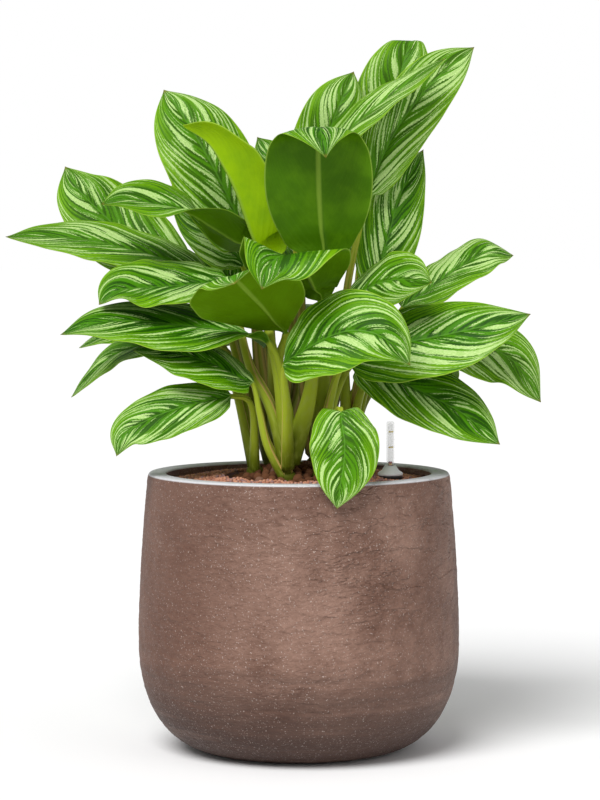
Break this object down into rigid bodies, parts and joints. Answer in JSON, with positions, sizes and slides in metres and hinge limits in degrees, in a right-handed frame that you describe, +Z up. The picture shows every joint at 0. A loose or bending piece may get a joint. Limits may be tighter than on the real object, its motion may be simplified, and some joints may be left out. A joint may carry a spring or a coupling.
{
  "type": "potted chinese evergreen plant",
  "caption": "Striped-leaf chinese evergreen in clay pebbles, standing in a round bellied clay-fibre planter with a granule top layer and a clear-topped water gauge.",
  "frame": {"origin": "centre of the planter's underside", "axes": "+Z up along the planter's axis; +X to the right and +Y away from the side the plant faces"},
  "size_m": [0.5373, 0.425, 0.716],
  "materials": {
    "clay_fibre": "mauve-brown clay and fibre body with pale specks and a slate-like low relief, satin, pale grey rim",
    "culture_pot": "plain dark moulded plastic",
    "granules": "small fired-clay granules, salmon to mauve-grey, dry and matte",
    "pebbles": "expanded-clay balls, brown, dry and matte",
    "gauge_dark": "dark ribbed moulded plastic",
    "gauge_clear": "clear to frosted moulded plastic",
    "gauge_red": "red moulded plastic with a yellow band",
    "stem": "green stem, darker towards the base",
    "leaf": "leathery green blade with pale feathered stripes along the side veins, lighter green underside"
  },
  "bodies": {
    "root": {"planter": "clay_fibre", "culture_pot": "culture_pot", "granule_bed": "granules", "clay_pebbles": "pebbles", "gauge_shaft": "gauge_dark", "gauge_collar": "gauge_clear", "gauge_tube": "gauge_clear", "gauge_float": "gauge_red", "stem_back_left": "stem", "stem_back_right": "stem", "stem_front": "stem", "stem_left": "stem", "stem_middle": "stem", "stem_right": "stem", "leaf_back_centre_tall": "leaf", "leaf_back_left_dark": "leaf", "leaf_back_left_low": "leaf", "leaf_back_left_tall": "leaf", "leaf_centre_arched": "leaf", "leaf_centre_front_curled": "leaf", "leaf_centre_left_curled": "leaf", "leaf_far_left_tall": "leaf", "leaf_far_right": "leaf", "leaf_front_arched": "leaf", "leaf_front_hanging": "leaf", "leaf_left_dark": "leaf", "leaf_left_folded": "leaf", "leaf_left_hidden": "leaf", "leaf_left_large": "leaf", "leaf_left_long": "leaf", "leaf_left_middle": "leaf", "leaf_left_narrow": "leaf", "leaf_lime_upright": "leaf", "leaf_low_left": "leaf", "leaf_lower_right": "leaf", "leaf_rear_centre": "leaf", "leaf_rear_centre_high": "leaf", "leaf_rear_left_high": "leaf", "leaf_rear_left_long": "leaf", "leaf_rear_right_high": "leaf", "leaf_rear_right_long": "leaf", "leaf_rear_right_low": "leaf", "leaf_right_long": "leaf", "leaf_right_raised": "leaf", "leaf_right_round": "leaf", "leaf_right_upright": "leaf", "leaf_top_back": "leaf", "leaf_top_left": "leaf", "leaf_top_narrow": "leaf", "leaf_top_right": "leaf"}
  },
  "joints": []
}
